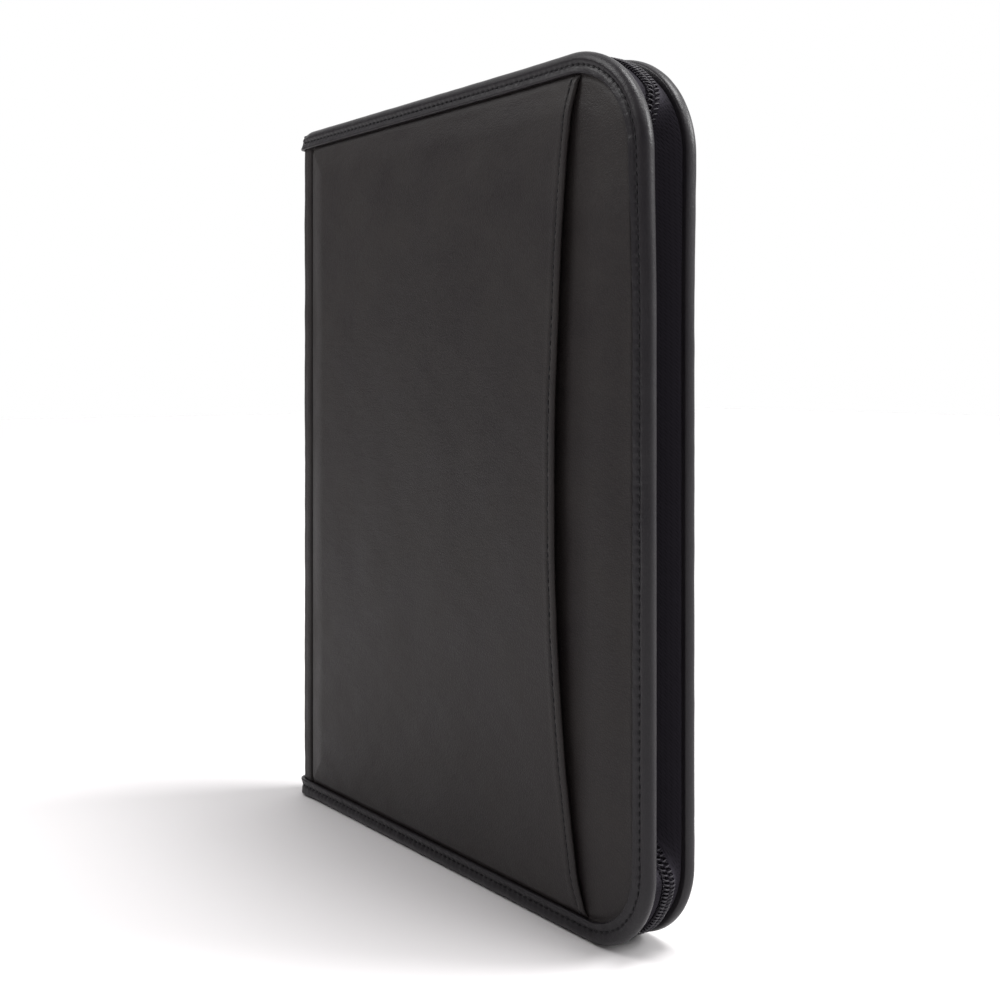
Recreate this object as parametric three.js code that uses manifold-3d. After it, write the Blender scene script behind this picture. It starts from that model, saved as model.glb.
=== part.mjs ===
// A leather document case for A4 papers, zipped round three sides and standing on its lower short edge.
// Millimetres, +Z up. X runs from the spine (-X) to the zip side (+X), and the front cover faces -Y.
// The origin is on the underside, below the middle of the whole thickness with the pocket's swell.
import * as THREE from "three";
import { mergeVertices } from "three/addons/utils/BufferGeometryUtils.js";
import Module from "manifold-3d";

const wasm = await Module();
wasm.setup();

// Overall size, over the edge binding
const WIDTH = 257;
const HEIGHT = 340;
const THICKNESS = 25;
const TOP_CORNER = 43; // radius of the upper corner on the zip side
const BOTTOM_CORNER = 34; // radius of the lower corner on the zip side
const GAP = 0.3; // clearance between neighbouring pieces

// Covers: a board with foam and leather on it
const BOARD = 2.7;
const CROWN = 1.0; // how far the foam lifts the middle of a cover
const CROWN_WIDTH = 16; // band along the edges in which the foam thins out

// Edge binding: a leather strip folded round the edge of each cover
const LEATHER = 1.0;
const BINDING_FACE = 8.6; // width of the strip on each face
const BINDING_NOSE = 1.6; // radius of the rolled edge
const BINDING_EDGE = 1.4; // leather at the very edge, where the fold doubles it

// Spine: the leather that joins the covers
const SPINE_FLANGE = 13.5; // from the outer edge to the seam on each cover
const SPINE_BEND = 6; // outer radius of the turn from cover to spine

// Front pocket: a leather panel on the front cover, open towards the zip
const MOUTH_MARGIN = 47.4; // from the zip side to the middle of the mouth
const MOUTH_BOW_TOP = 12.2; // how much nearer the zip side the mouth ends at the top
const MOUTH_BOW_BOTTOM = 15;
const POCKET_LIFT = 3.5; // how far the middle of the mouth stands open

// Zip: two rows of coil on two tapes, between the covers
const COIL_WIDTH = 2.85; // across one row
const COIL_DEPTH = 2.4;
const TAPE = 1.0;
const TAPE_SEAT = 3; // inset of the tape's sewn edge
const TAPE_DROP = 1.2; // from the face of the coil to the tape
const ZIP_START = 7.5; // from the spine's outside to the end of the zip
const ZIP_DEPTH = 12; // how deep the coil lies between the covers on the straight sides
const ZIP_CORNER_DEPTH = 0.5; // and where the corners push it out
const ZIP_EASE = 20; // length over which it comes out

// Where the zip lies right out, as shares of the corner's arc, going from the top to the bottom
const BULGES = [
  { corner: "top", from: 0.15, to: 0.55 },
  { corner: "bottom", from: 0.12, to: 0.6 },
];

// Zip slider with its pull, lying between the covers on the top side
const SLIDER_PLACE = 24; // from the spine's outside to the middle of the slider
const SLIDER_LENGTH = 11;
const SLIDER_WIDTH = 6.4;
const SLIDER_HEIGHT = 2.2;
const PULL_LENGTH = 28;
const PULL_WIDTH = 4.6;
const PULL_THICKNESS = 1.4;

// Faceting
const CORNER_STEPS = 8;
const BEND_STEPS = 4;
const NOSE_STEPS = 3;
const CROWN_STEPS = 4;
const EASE_STEPS = 4;
const PULL_STEPS = 6;
const POCKET_ROWS = 8;
const POCKET_COLUMNS = [0.3, 0.5, 0.68, 0.84, 1]; // shares of the way from the seam to the mouth

// Sizes worked out from those above
const LEFT = -WIDTH / 2;
const RIGHT = WIDTH / 2;
const FRONT = -THICKNESS / 2;
const ROLL = BOARD + 2 * (LEATHER + GAP); // thickness of the bound edge
const SKIN = LEATHER + GAP; // depth of a cover's face below the binding's
const COVER_INSET = BINDING_EDGE + GAP; // a cover's rim, inside the fold
const SEAM = LEFT + SPINE_FLANGE + GAP; // where the covers meet the spine's flanges

const leather = (name, color, roughness) =>
  new THREE.MeshStandardMaterial({ name, color, roughness, metalness: 0 });
const coverLeather = leather("cover_leather", 0x38_36_36, 0.55);
const bindingLeather = leather("binding_leather", 0x35_33_34, 0.45);
const tapeCloth = leather("zip_tape", 0x17_16_18, 0.9);
const coilNylon = leather("zip_coil", 0x1c_1b_1e, 0.4);
const sliderMetal = new THREE.MeshStandardMaterial({
  name: "zip_slider",
  color: 0x22_22_24,
  roughness: 0.35,
  metalness: 0.8,
});

const smooth = (share) => THREE.MathUtils.smoothstep(share, 0, 1);
const spread = (from, to, steps) =>
  Array.from({ length: steps + 1 }, (_, k) => from + ((to - from) * k) / steps);

// A closed solid through a row of like rings, capped at both ends.
// flat holds the rings' shape in a plane, from which both caps are cut.
function loft(rings, flat) {
  const size = flat.length;
  const last = (rings.length - 1) * size;
  const index = [];
  for (let r = 0; r < rings.length - 1; r++)
    for (let k = 0; k < size; k++) {
      const a = r * size + k;
      const b = r * size + ((k + 1) % size);
      index.push(a, b, a + size, b, b + size, a + size);
    }
  const clockwise = THREE.ShapeUtils.isClockWise(flat);
  for (const cap of THREE.ShapeUtils.triangulateShape(flat, [])) {
    const [a, b, c] = clockwise ? cap.reverse() : cap;
    index.push(a, c, b);
    index.push(last + a, last + b, last + c);
  }
  const geometry = new THREE.BufferGeometry().setFromPoints(rings.flat());
  geometry.setIndex(index);
  return facingOut(geometry);
}

// Turns a closed geometry the right way out.
function facingOut(geometry) {
  const at = geometry.getAttribute("position");
  const index = geometry.getIndex();
  const [a, b, c] = [new THREE.Vector3(), new THREE.Vector3(), new THREE.Vector3()];
  let volume = 0;
  for (let i = 0; i < index.count; i += 3) {
    a.fromBufferAttribute(at, index.getX(i));
    b.fromBufferAttribute(at, index.getX(i + 1));
    c.fromBufferAttribute(at, index.getX(i + 2));
    volume += a.dot(b.cross(c));
  }
  if (volume < 0) index.array.reverse();
  geometry.computeVertexNormals();
  return geometry;
}

// The cover's edge as a path in X and Z: along the top, down the zip side and back along the bottom.
function edgePath(start) {
  return new THREE.Path()
    .moveTo(start, HEIGHT)
    .lineTo(RIGHT - TOP_CORNER, HEIGHT)
    .absarc(RIGHT - TOP_CORNER, HEIGHT - TOP_CORNER, TOP_CORNER, Math.PI / 2, 0, true)
    .lineTo(RIGHT, BOTTOM_CORNER)
    .absarc(RIGHT - BOTTOM_CORNER, BOTTOM_CORNER, BOTTOM_CORNER, 0, -Math.PI / 2, true)
    .lineTo(start, 0);
}

// Lengths along that path at which its straights and arcs begin.
function milestones(start) {
  const straight = RIGHT - TOP_CORNER - start;
  const topEnd = straight + (TOP_CORNER * Math.PI) / 2;
  const sideEnd = topEnd + HEIGHT - TOP_CORNER - BOTTOM_CORNER;
  const bottomEnd = sideEnd + (BOTTOM_CORNER * Math.PI) / 2;
  const finish = bottomEnd + RIGHT - BOTTOM_CORNER - start;
  return { straight, topEnd, sideEnd, bottomEnd, finish };
}

// A place on the front cover's edge: the point, the way into the cover and the way through it.
function stationAt(path, finish, length) {
  const share = THREE.MathUtils.clamp(length / finish, 0, 1);
  const point = path.getPointAt(share);
  const along = path.getTangentAt(share);
  return {
    length,
    point: new THREE.Vector3(point.x, FRONT, point.y),
    inward: new THREE.Vector3(along.y, 0, -along.x),
    through: new THREE.Vector3(0, 1, 0),
  };
}

// Places round the turn from the middle of the spine to the front cover, at the top or bottom edge.
function bendStations(z, inward) {
  const centre = new THREE.Vector3(LEFT + SPINE_BEND, FRONT + SPINE_BEND, z);
  const turn = spread(Math.PI, 1.5 * Math.PI, BEND_STEPS).map((angle) => {
    const outward = new THREE.Vector3(Math.cos(angle), Math.sin(angle), 0);
    return {
      point: centre.clone().addScaledVector(outward, SPINE_BEND),
      inward,
      through: outward.negate(),
    };
  });
  const middle = {
    point: new THREE.Vector3(LEFT, -GAP / 2, z),
    inward,
    through: new THREE.Vector3(1, 0, 0),
  };
  return [middle, ...turn];
}

// A section in inset and depth, carried along the stations.
function sweep(stations, sectionAt) {
  const rings = stations.map((station) =>
    sectionAt(station).map(([inset, depth]) =>
      station.point
        .clone()
        .addScaledVector(station.inward, inset)
        .addScaledVector(station.through, depth),
    ),
  );
  const flat = sectionAt(stations[0]).map(([inset, depth]) => new THREE.Vector2(inset, depth));
  return loft(rings, flat);
}

// Front half of the edge binding: from the middle of the spine, round the front cover and back.
function bindingGeometry() {
  const start = LEFT + SPINE_BEND;
  const path = edgePath(start);
  const { straight, topEnd, sideEnd, bottomEnd, finish } = milestones(start);
  const lengths = [
    ...spread(straight, topEnd, CORNER_STEPS),
    ...spread(sideEnd, bottomEnd, CORNER_STEPS),
  ];
  const stations = [
    ...bendStations(HEIGHT, new THREE.Vector3(0, 0, -1)),
    ...lengths.map((length) => stationAt(path, finish, length)),
    ...bendStations(0, new THREE.Vector3(0, 0, 1)).reverse(),
  ];
  const nose = (depth, from) =>
    spread(from, from + Math.PI / 2, NOSE_STEPS).map((angle) => [
      BINDING_NOSE * (1 + Math.cos(angle)),
      depth + BINDING_NOSE * Math.sin(angle),
    ]);
  const section = [
    [BINDING_FACE, LEATHER],
    [BINDING_EDGE, LEATHER],
    [BINDING_EDGE, ROLL - LEATHER],
    [BINDING_FACE, ROLL - LEATHER],
    [BINDING_FACE, ROLL],
    ...nose(ROLL - BINDING_NOSE, Math.PI / 2),
    ...nose(BINDING_NOSE, Math.PI),
    [BINDING_FACE, 0],
  ];
  return sweep(stations, () => section);
}

// Spine: a padded leather channel between the covers, inside the binding's folds.
function spineGeometry() {
  const outer = new THREE.Path()
    .moveTo(LEFT + SPINE_FLANGE, FRONT + SKIN)
    .absarc(LEFT + SPINE_BEND, FRONT + SPINE_BEND, SPINE_BEND - SKIN, 1.5 * Math.PI, Math.PI, true)
    .absarc(LEFT + SPINE_BEND, -FRONT - SPINE_BEND, SPINE_BEND - SKIN, Math.PI, Math.PI / 2, true)
    .lineTo(LEFT + SPINE_FLANGE, -FRONT - SKIN);
  const innerBend = SPINE_BEND - SKIN - BOARD;
  const inner = new THREE.Path()
    .moveTo(LEFT + SPINE_FLANGE, -FRONT - SKIN - BOARD)
    .absarc(LEFT + SPINE_BEND, -FRONT - SPINE_BEND, innerBend, Math.PI / 2, Math.PI, false)
    .absarc(LEFT + SPINE_BEND, FRONT + SPINE_BEND, innerBend, Math.PI, 1.5 * Math.PI, false)
    .lineTo(LEFT + SPINE_FLANGE, FRONT + SKIN + BOARD);
  const outline = new THREE.Shape([...outer.getPoints(BEND_STEPS), ...inner.getPoints(BEND_STEPS)]);
  const geometry = new THREE.ExtrudeGeometry(outline, {
    depth: HEIGHT - 2 * COVER_INSET,
    bevelEnabled: false,
  });
  return geometry.translate(0, 0, COVER_INSET);
}

// How far the foam lifts a cover, at a distance in from the binding's inner edge and the seam.
const crownAt = (distance) => CROWN * smooth(distance / CROWN_WIDTH);

// The outline of a cover in X and Z at an inset from the edge, its spine side at left.
function coverOutline(inset, left) {
  const corner = (z, radius, from) =>
    spread(from, from - Math.PI / 2, CORNER_STEPS).map((angle) => [
      RIGHT - radius + (radius - inset) * Math.cos(angle),
      z + (radius - inset) * Math.sin(angle),
    ]);
  return [
    [left, HEIGHT - inset],
    ...corner(HEIGHT - TOP_CORNER, TOP_CORNER, Math.PI / 2),
    ...corner(BOTTOM_CORNER, BOTTOM_CORNER, 0),
    [left, inset],
  ];
}

// Front cover: flat inside, its rim in the binding's fold and its face lifted by the foam.
function coverGeometry() {
  const ringAt = (inset, left, depth) =>
    coverOutline(inset, left).map(([x, z]) => new THREE.Vector3(x, FRONT + depth, z));
  const rims = [SKIN + BOARD, SKIN].map((depth) => ringAt(COVER_INSET, SEAM, depth));
  const crown = spread(0, CROWN_WIDTH, CROWN_STEPS).map((distance) =>
    ringAt(BINDING_FACE + distance, SEAM + distance, SKIN - crownAt(distance)),
  );
  // Every ring is a smaller copy of the same convex outline, so one set of cap triangles fits both ends.
  const flat = coverOutline(COVER_INSET, SEAM).map(([x, z]) => new THREE.Vector2(x, z));
  return loft([...rims, ...crown], flat);
}

// Heights of the line at an inset from the case's lower and upper edge, round the corners too.
function lowAt(x, inset) {
  const over = Math.max(0, x - (RIGHT - BOTTOM_CORNER));
  return BOTTOM_CORNER - Math.sqrt((BOTTOM_CORNER - inset) ** 2 - over ** 2);
}

function highAt(x, inset) {
  const over = Math.max(0, x - (RIGHT - TOP_CORNER));
  return HEIGHT - TOP_CORNER + Math.sqrt((TOP_CORNER - inset) ** 2 - over ** 2);
}

// The pocket's mouth in X at a height.
function mouthAt(z) {
  const share = (2 * z) / HEIGHT - 1;
  const bow = share > 0 ? MOUTH_BOW_TOP : MOUTH_BOW_BOTTOM;
  return RIGHT - MOUTH_MARGIN + bow * share ** 2;
}

// Front pocket: a leather sheet on the front cover, which rises to an open mouth.
function pocketGeometry() {
  const steps = spread(0, CROWN_WIDTH, CROWN_STEPS);
  // Distances in from the binding at the lower and upper edge, and shares of the height between them
  const bands = [GAP, ...steps.slice(1)];
  const shares = spread(0, 1, POCKET_ROWS).slice(1, -1);
  const rows = [
    ...bands.map((band) => (x) => lowAt(x, BINDING_FACE + band)),
    ...shares.map((share) => (x) => {
      const [low, high] = [lowAt, highAt].map((at) => at(x, BINDING_FACE + CROWN_WIDTH));
      return low + (high - low) * share;
    }),
    ...bands.map((band) => (x) => highAt(x, BINDING_FACE + band)).reverse(),
  ];
  // Depth of the sheet's inner face below the binding's face
  const innerDepth = (x, across, z, bandLow, bandHigh) => {
    const lift = POCKET_LIFT * across ** 2 * 4 * z * (1 - z);
    return LEATHER - crownAt(Math.min(x - SEAM, bandLow, bandHigh)) - lift;
  };
  const rings = rows.map((heightAt) => {
    const mouth = mouthAt(heightAt(SEAM));
    const columns = [
      ...steps.map((distance) => SEAM + distance),
      ...POCKET_COLUMNS.map((share) => SEAM + (mouth - SEAM) * share),
    ];
    const at = (x, wall) => {
      const z = heightAt(x);
      const [low, high] = [lowAt(x, BINDING_FACE), highAt(x, BINDING_FACE)];
      const across = (x - SEAM) / (mouth - SEAM);
      const depth = innerDepth(x, across, (z - low) / (high - low), z - low, high - z);
      return new THREE.Vector3(x, FRONT + depth - wall, z);
    };
    return [...columns.map((x) => at(x, LEATHER)), ...columns.reverse().map((x) => at(x, 0))];
  });
  const flat = rings[0].map((point) => new THREE.Vector2(point.x, point.y));
  return loft(rings, flat);
}

// Stations along the zip, closer together where it comes out at the corners, each with its depth.
function zipStations() {
  const start = LEFT + ZIP_START;
  const path = edgePath(start);
  const { straight, topEnd, sideEnd, bottomEnd, finish } = milestones(start);
  const arcs = { top: [straight, topEnd], bottom: [sideEnd, bottomEnd] };
  const out = BULGES.map(({ corner, from, to }) => {
    const [begin, end] = arcs[corner];
    return [begin + (end - begin) * from, begin + (end - begin) * to];
  });
  const lengths = [0, finish];
  for (const [from, to] of out) {
    lengths.push(...spread(from - ZIP_EASE, from, EASE_STEPS).slice(0, -1));
    lengths.push(...spread(from, to, EASE_STEPS));
    lengths.push(...spread(to, to + ZIP_EASE, EASE_STEPS).slice(1));
  }
  for (const [begin, end] of Object.values(arcs))
    lengths.push(...spread(begin, end, CORNER_STEPS));
  lengths.sort((a, b) => a - b);
  const shortest = ZIP_EASE / EASE_STEPS / 4;
  const kept = lengths.filter(
    (length, k) => k === lengths.length - 1 || lengths[k + 1] - length > shortest,
  );
  return kept.map((length) => {
    const away = Math.min(...out.map(([from, to]) => Math.max(from - length, length - to, 0)));
    const zipDepth = THREE.MathUtils.lerp(ZIP_CORNER_DEPTH, ZIP_DEPTH, smooth(away / ZIP_EASE));
    return { ...stationAt(path, finish, length), zipDepth };
  });
}

// Front zip tape: a cloth strip from the inside of the binding down to the coil.
function tapeGeometry() {
  const seat = new THREE.Vector2(TAPE_SEAT, ROLL + GAP);
  return sweep(zipStations(), ({ zipDepth }) => {
    const coilEdge = new THREE.Vector2(
      zipDepth + TAPE_DROP,
      THICKNESS / 2 - GAP / 2 - COIL_WIDTH - GAP,
    );
    const down = coilEdge.clone().sub(seat).normalize();
    const behind = new THREE.Vector2(down.y, -down.x).multiplyScalar(TAPE);
    const sewn = seat.clone();
    sewn.y += Math.max(0, -behind.y);
    coilEdge.y -= Math.max(0, behind.y);
    const corners = [sewn, coilEdge, coilEdge.clone().add(behind), sewn.clone().add(behind)];
    return corners.map((corner) => corner.toArray());
  });
}

// Front row of the zip's coil, as the bar that its teeth fill.
function coilGeometry() {
  const inner = THICKNESS / 2 - GAP / 2;
  const outer = inner - COIL_WIDTH;
  return sweep(zipStations(), ({ zipDepth }) => [
    [zipDepth, outer],
    [zipDepth, inner],
    [zipDepth + COIL_DEPTH, inner],
    [zipDepth + COIL_DEPTH, outer],
  ]);
}

// A strip with round ends, lying in X and Y on its underside.
function strip(length, width, height) {
  const radius = width / 2;
  const reach = length / 2 - radius;
  const outline = new THREE.Shape()
    .absarc(reach, 0, radius, -Math.PI / 2, Math.PI / 2, false)
    .absarc(-reach, 0, radius, Math.PI / 2, 1.5 * Math.PI, false);
  return new THREE.ExtrudeGeometry(outline, {
    depth: height,
    bevelEnabled: false,
    curveSegments: PULL_STEPS,
  });
}

// The geometry as a solid that can be joined to others.
function solidOf(geometry) {
  const plain = new THREE.BufferGeometry();
  plain.setAttribute("position", geometry.getAttribute("position"));
  if (geometry.index) plain.setIndex(geometry.index);
  const merged = mergeVertices(plain, 1e-4);
  return new wasm.Manifold(
    new wasm.Mesh({
      numProp: 3,
      vertProperties: new Float32Array(merged.getAttribute("position").array),
      triVerts: new Uint32Array(merged.index.array),
    }),
  );
}

// The solid as a geometry.
function geometryOf(solid) {
  const mesh = solid.getMesh();
  const geometry = new THREE.BufferGeometry();
  geometry.setAttribute("position", new THREE.BufferAttribute(mesh.vertProperties, 3));
  geometry.setIndex(new THREE.BufferAttribute(mesh.triVerts, 1));
  geometry.computeVertexNormals();
  return geometry;
}

// Slider body on the coil, with a pull that lies along it.
function sliderGeometry() {
  const body = strip(SLIDER_LENGTH, SLIDER_WIDTH, SLIDER_HEIGHT);
  const pull = strip(PULL_LENGTH, PULL_WIDTH, PULL_THICKNESS);
  // The pull starts over the body and is sunk a little into it, where its lug is.
  const sink = PULL_THICKNESS / 4;
  pull.translate(PULL_LENGTH / 2 - SLIDER_LENGTH / 4, 0, SLIDER_HEIGHT - sink);
  return geometryOf(solidOf(body).add(solidOf(pull)));
}

// The bound edges lie about Y = 0 in this group, and the swell of the pocket moves it back by half.
const bound = new THREE.Group();
bound.position.y = (CROWN + POCKET_LIFT) / 2;

function add(name, geometry, material, side = 1) {
  const mesh = new THREE.Mesh(geometry, material.clone());
  mesh.name = name;
  mesh.scale.y = side;
  bound.add(mesh);
  return mesh;
}

// Pieces that each cover has, the back ones mirrored from the front ones
const pairs = [
  ["cover", coverGeometry(), coverLeather],
  ["binding", bindingGeometry(), bindingLeather],
  ["zip_tape", tapeGeometry(), tapeCloth],
  ["zip_coil", coilGeometry(), coilNylon],
];
for (const [name, geometry, material] of pairs) {
  add("front_" + name, geometry, material);
  add("back_" + name, geometry, material, -1);
}

add("spine", spineGeometry(), coverLeather);
add("front_pocket", pocketGeometry(), coverLeather);

const slider = add("zip_slider", sliderGeometry(), sliderMetal);
slider.position.set(LEFT + SLIDER_PLACE, 0, HEIGHT - ZIP_DEPTH + GAP);

const model = new THREE.Group();
model.add(bound);

export default model;
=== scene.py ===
"""The leather document case with its padding, folds, seams, thread and zip teeth, in a plain studio.

Sizes are in millimetres, in the frame of the part: X from the spine to the zip side, the front at -Y, Z up.
They become metres when a mesh is made.
"""
import math

import bpy
import numpy as np
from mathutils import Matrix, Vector


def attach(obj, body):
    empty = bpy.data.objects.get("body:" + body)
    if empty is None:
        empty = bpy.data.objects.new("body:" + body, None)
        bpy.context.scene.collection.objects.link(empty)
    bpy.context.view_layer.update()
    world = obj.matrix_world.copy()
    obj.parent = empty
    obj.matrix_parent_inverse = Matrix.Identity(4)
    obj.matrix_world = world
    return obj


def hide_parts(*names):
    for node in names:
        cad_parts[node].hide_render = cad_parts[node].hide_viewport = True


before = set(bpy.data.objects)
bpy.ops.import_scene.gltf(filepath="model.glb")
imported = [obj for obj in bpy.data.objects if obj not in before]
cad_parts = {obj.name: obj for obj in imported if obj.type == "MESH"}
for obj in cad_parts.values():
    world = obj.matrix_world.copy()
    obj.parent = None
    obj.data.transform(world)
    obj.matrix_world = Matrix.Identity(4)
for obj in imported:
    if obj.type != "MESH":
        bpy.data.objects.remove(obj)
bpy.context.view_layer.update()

# Sizes of the part
WIDTH, HEIGHT, THICKNESS = 257.0, 340.0, 25.0
TOP_CORNER, BOTTOM_CORNER = 43.0, 34.0
GAP = 0.3
BOARD, CROWN, CROWN_WIDTH = 2.7, 1.0, 16.0
SWELL = 1.35  # crown of the soft faces, a little fuller than the solids'
SEAM_CROWN_WIDTH = 14.0  # band beside the spine in which it thins out
LEATHER = 1.0
BINDING_FACE, BINDING_EDGE = 8.6, 1.4
SPINE_FLANGE, SPINE_BEND = 13.5, 6.0
MOUTH_MARGIN, MOUTH_BOW_TOP, MOUTH_BOW_BOTTOM = 47.4, 12.2, 15.0
POCKET_LIFT = 3.5
COIL_WIDTH, COIL_DEPTH = 2.85, 2.4
TAPE_SEAT, TAPE_DROP = 3.0, 1.2
ZIP_START, ZIP_DEPTH, ZIP_CORNER_DEPTH, ZIP_EASE = 7.5, 12.0, 0.5, 20.0
BULGES = [
    {"corner": "top", "from": 0.15, "to": 0.55},
    {"corner": "bottom", "from": 0.12, "to": 0.6},
]
SLIDER_PLACE, SLIDER_LENGTH, SLIDER_WIDTH, SLIDER_HEIGHT = 24.0, 11.0, 6.4, 2.2
PULL_LENGTH, PULL_WIDTH, PULL_THICKNESS = 28.0, 4.6, 1.4

LEFT, RIGHT = -WIDTH / 2, WIDTH / 2
FRONT = -THICKNESS / 2
ROLL = BOARD + 2 * (LEATHER + GAP)
SKIN = LEATHER + GAP
COVER_INSET = BINDING_EDGE + GAP
SEAM = LEFT + SPINE_FLANGE + GAP
MIDDLE_Y = (CROWN + POCKET_LIFT) / 2  # where the mid-plane of the bound edges lies in the part's frame

# Fine relief, which only the dressed part has
PITCH = 3.3  # of the stitches
STITCH_INSET = 5.2  # of the binding's seam
ROLL_WIDTH = 3.6  # from the edge to the crest of the binding's roll on the outside
ROLL_INSIDE = 1.5  # and on the inside, where the strip lies tight
SPINE_SEAM = 1.5  # from the spine's cut edge to its seam
STITCH_LENGTH = 2.4
THREAD = 0.36  # radius
HEM_THREAD = 0.42  # radius of the pocket's thicker thread
SPREAD = 1.8  # how far the covers stand apart more at the upper corner of the zip side
BACK_SLACK = 0.7  # and the back cover alone along the rest of that side
COIL_PITCH = 1.65
COIL_STRAND = 0.36  # radius

QUARTER = math.pi / 2
UP, DOWN = [0.0, 0.0, 1.0], [0.0, 0.0, -1.0]
BACKWARD = [0.0, 1.0, 0.0]

rng = np.random.default_rng(7)


# Numbers and noise


def smooth(t):
    """A share that eases from 0 at t = 0 to 1 at t = 1."""
    t = np.clip(t, 0, 1)
    return t * t * (3 - 2 * t)


def bump(x, middle, width):
    """A rounded rise to 1 at the middle."""
    return np.exp(-(((x - middle) / width) ** 2))


def unit(v):
    """Vectors of length 1 along the last axis."""
    return v / np.maximum(np.linalg.norm(v, axis=-1, keepdims=True), 1e-9)


def waves(points, length, seed):
    """Smooth noise of about that wavelength, mostly within -1 to 1."""
    count = 16
    r = np.random.default_rng(seed)
    directions = unit(r.normal(size=(count, 3)))
    stretch = r.uniform(0.6, 1.6, count)
    phases = r.uniform(0, 2 * math.pi, count)
    total = np.zeros(points.shape[:-1])
    for direction, k, phase in zip(directions, stretch, phases):
        total += np.sin(points @ direction * (2 * math.pi * k / length) + phase)
    return total / math.sqrt(count)


def crowded_ends(count, amount=0.13):
    """Shares from 0 to 1 that lie closer together near both ends."""
    t = np.linspace(0, 1, count)
    return t - amount * np.sin(2 * math.pi * t)


# Meshes


def make(name, points, faces, material, slot, angle=40):
    """A mesh piece in metres that rides on the part. faces is a list of arrays, one per face size."""
    points = np.asarray(points, float).reshape(-1, 3).copy()
    points[:, 1] += spread_at(points)
    points[:, 1] += MIDDLE_Y
    mesh = bpy.data.meshes.new(name)
    loops = np.concatenate([f.reshape(-1) for f in faces]).astype(np.int32)
    sizes = np.concatenate([np.full(len(f), f.shape[1]) for f in faces]).astype(np.int32)
    starts = np.concatenate([[0], np.cumsum(sizes)[:-1]]).astype(np.int32)
    mesh.vertices.add(len(points))
    mesh.vertices.foreach_set("co", (points * 0.001).astype(np.float32).reshape(-1))
    mesh.loops.add(len(loops))
    mesh.loops.foreach_set("vertex_index", loops)
    mesh.polygons.add(len(sizes))
    mesh.polygons.foreach_set("loop_start", starts)
    mesh.polygons.foreach_set("loop_total", sizes)
    mesh.update(calc_edges=True)
    mesh.validate()
    mesh.shade_smooth()
    mesh.set_sharp_from_angle(angle=math.radians(angle))
    mesh.materials.append(material)
    piece = bpy.data.objects.new(name, mesh)
    bpy.context.scene.collection.objects.link(piece)
    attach(piece, "root")
    return piece


def spread_at(points):
    """How far the covers stand off at the upper zip corner, more with distance from the mid-plane."""
    x, y, z = points.T
    near = smooth((z - (HEIGHT - 105)) / 75) * smooth((x - (RIGHT - 90)) / 80)
    slack = BACK_SLACK * smooth((x + WIDTH / 4) / (WIDTH * 0.75)) * (y > 0) * (1 - near)
    return (SPREAD * near + slack) * y / (THICKNESS / 2)


def fan(ring, centre):
    """Triangles from a ring of point numbers to one point number."""
    return np.column_stack([ring, np.roll(ring, -1), np.full(len(ring), centre)])


def tube_faces(rows, columns):
    """Quads and triangles of a closed tube of rings, with a middle point at each end after the rings."""
    r = np.arange(rows - 1)[:, None]
    c = np.arange(columns)[None, :]
    a = r * columns + c
    b = r * columns + (c + 1) % columns
    quads = np.stack([a, b, b + columns, a + columns], -1).reshape(-1, 4)
    middle = rows * columns
    first_ring = np.arange(columns)
    last_ring = first_ring + (rows - 1) * columns
    return [quads, np.concatenate([fan(first_ring, middle)[:, ::-1], fan(last_ring, middle + 1)])]


def with_caps(rings):
    """Points of a tube of rings and the middle of each end."""
    flat = rings.reshape(-1, 3)
    return np.concatenate([flat, [rings[0].mean(0)], [rings[-1].mean(0)]])


def outward_faces(points, faces):
    """The same faces, turned outwards if they enclose a negative volume."""
    volume = 0.0
    for f in faces:
        for k in range(1, f.shape[1] - 1):
            a, b, c = points[f[:, 0]], points[f[:, k]], points[f[:, k + 1]]
            volume += np.einsum("ij,ij->i", a, np.cross(b, c)).sum()
    return faces if volume > 0 else [f[:, ::-1] for f in faces]


def ring_normals(rings):
    """Normals of a tube of rings, from the differences along it and round it."""
    ahead = np.gradient(rings, axis=0)
    across = np.roll(rings, -1, axis=1) - np.roll(rings, 1, axis=1)
    return unit(np.cross(ahead, across))


def mirrored(points):
    """The same points on the other cover."""
    return points * np.array([1, -1, 1])


def read(values, length, places):
    """Rows of values at some places along a line, whose own rows lie at the given lengths."""
    return np.column_stack([np.interp(places, length, values[:, k]) for k in range(3)])


def joined(tubes):
    """Points and faces of some tubes of rings, in one mesh."""
    points, quads, tris = [], [], []
    total = 0
    for rings in tubes:
        own = with_caps(rings)
        faces = outward_faces(own, tube_faces(len(rings), rings.shape[1]))
        quads.append(faces[0] + total)
        tris.append(faces[1] + total)
        points.append(own)
        total += len(own)
    return np.concatenate(points), [np.concatenate(quads), np.concatenate(tris)]


def add_tube(name, rings, flip, material, slot, angle):
    """A closed tube of rings as a piece, mirrored to the back where flip says so."""
    points = with_caps(rings)
    if flip:
        points = mirrored(points)
    faces = outward_faces(points, tube_faces(len(rings), rings.shape[1]))
    return make(name, points, faces, material, slot, angle)


def heading(line):
    """The way ahead at each point of a line."""
    return unit(np.gradient(line, axis=0))


# The edge of the front cover


def along(a, b, step):
    """Points from a to b, about a step apart, without b."""
    count = max(2, int(round(math.dist(a, b) / step)))
    share = np.linspace(0, 1, count, endpoint=False)[:, None]
    return np.asarray(a, float) + (np.asarray(b, float) - np.asarray(a, float)) * share


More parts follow.
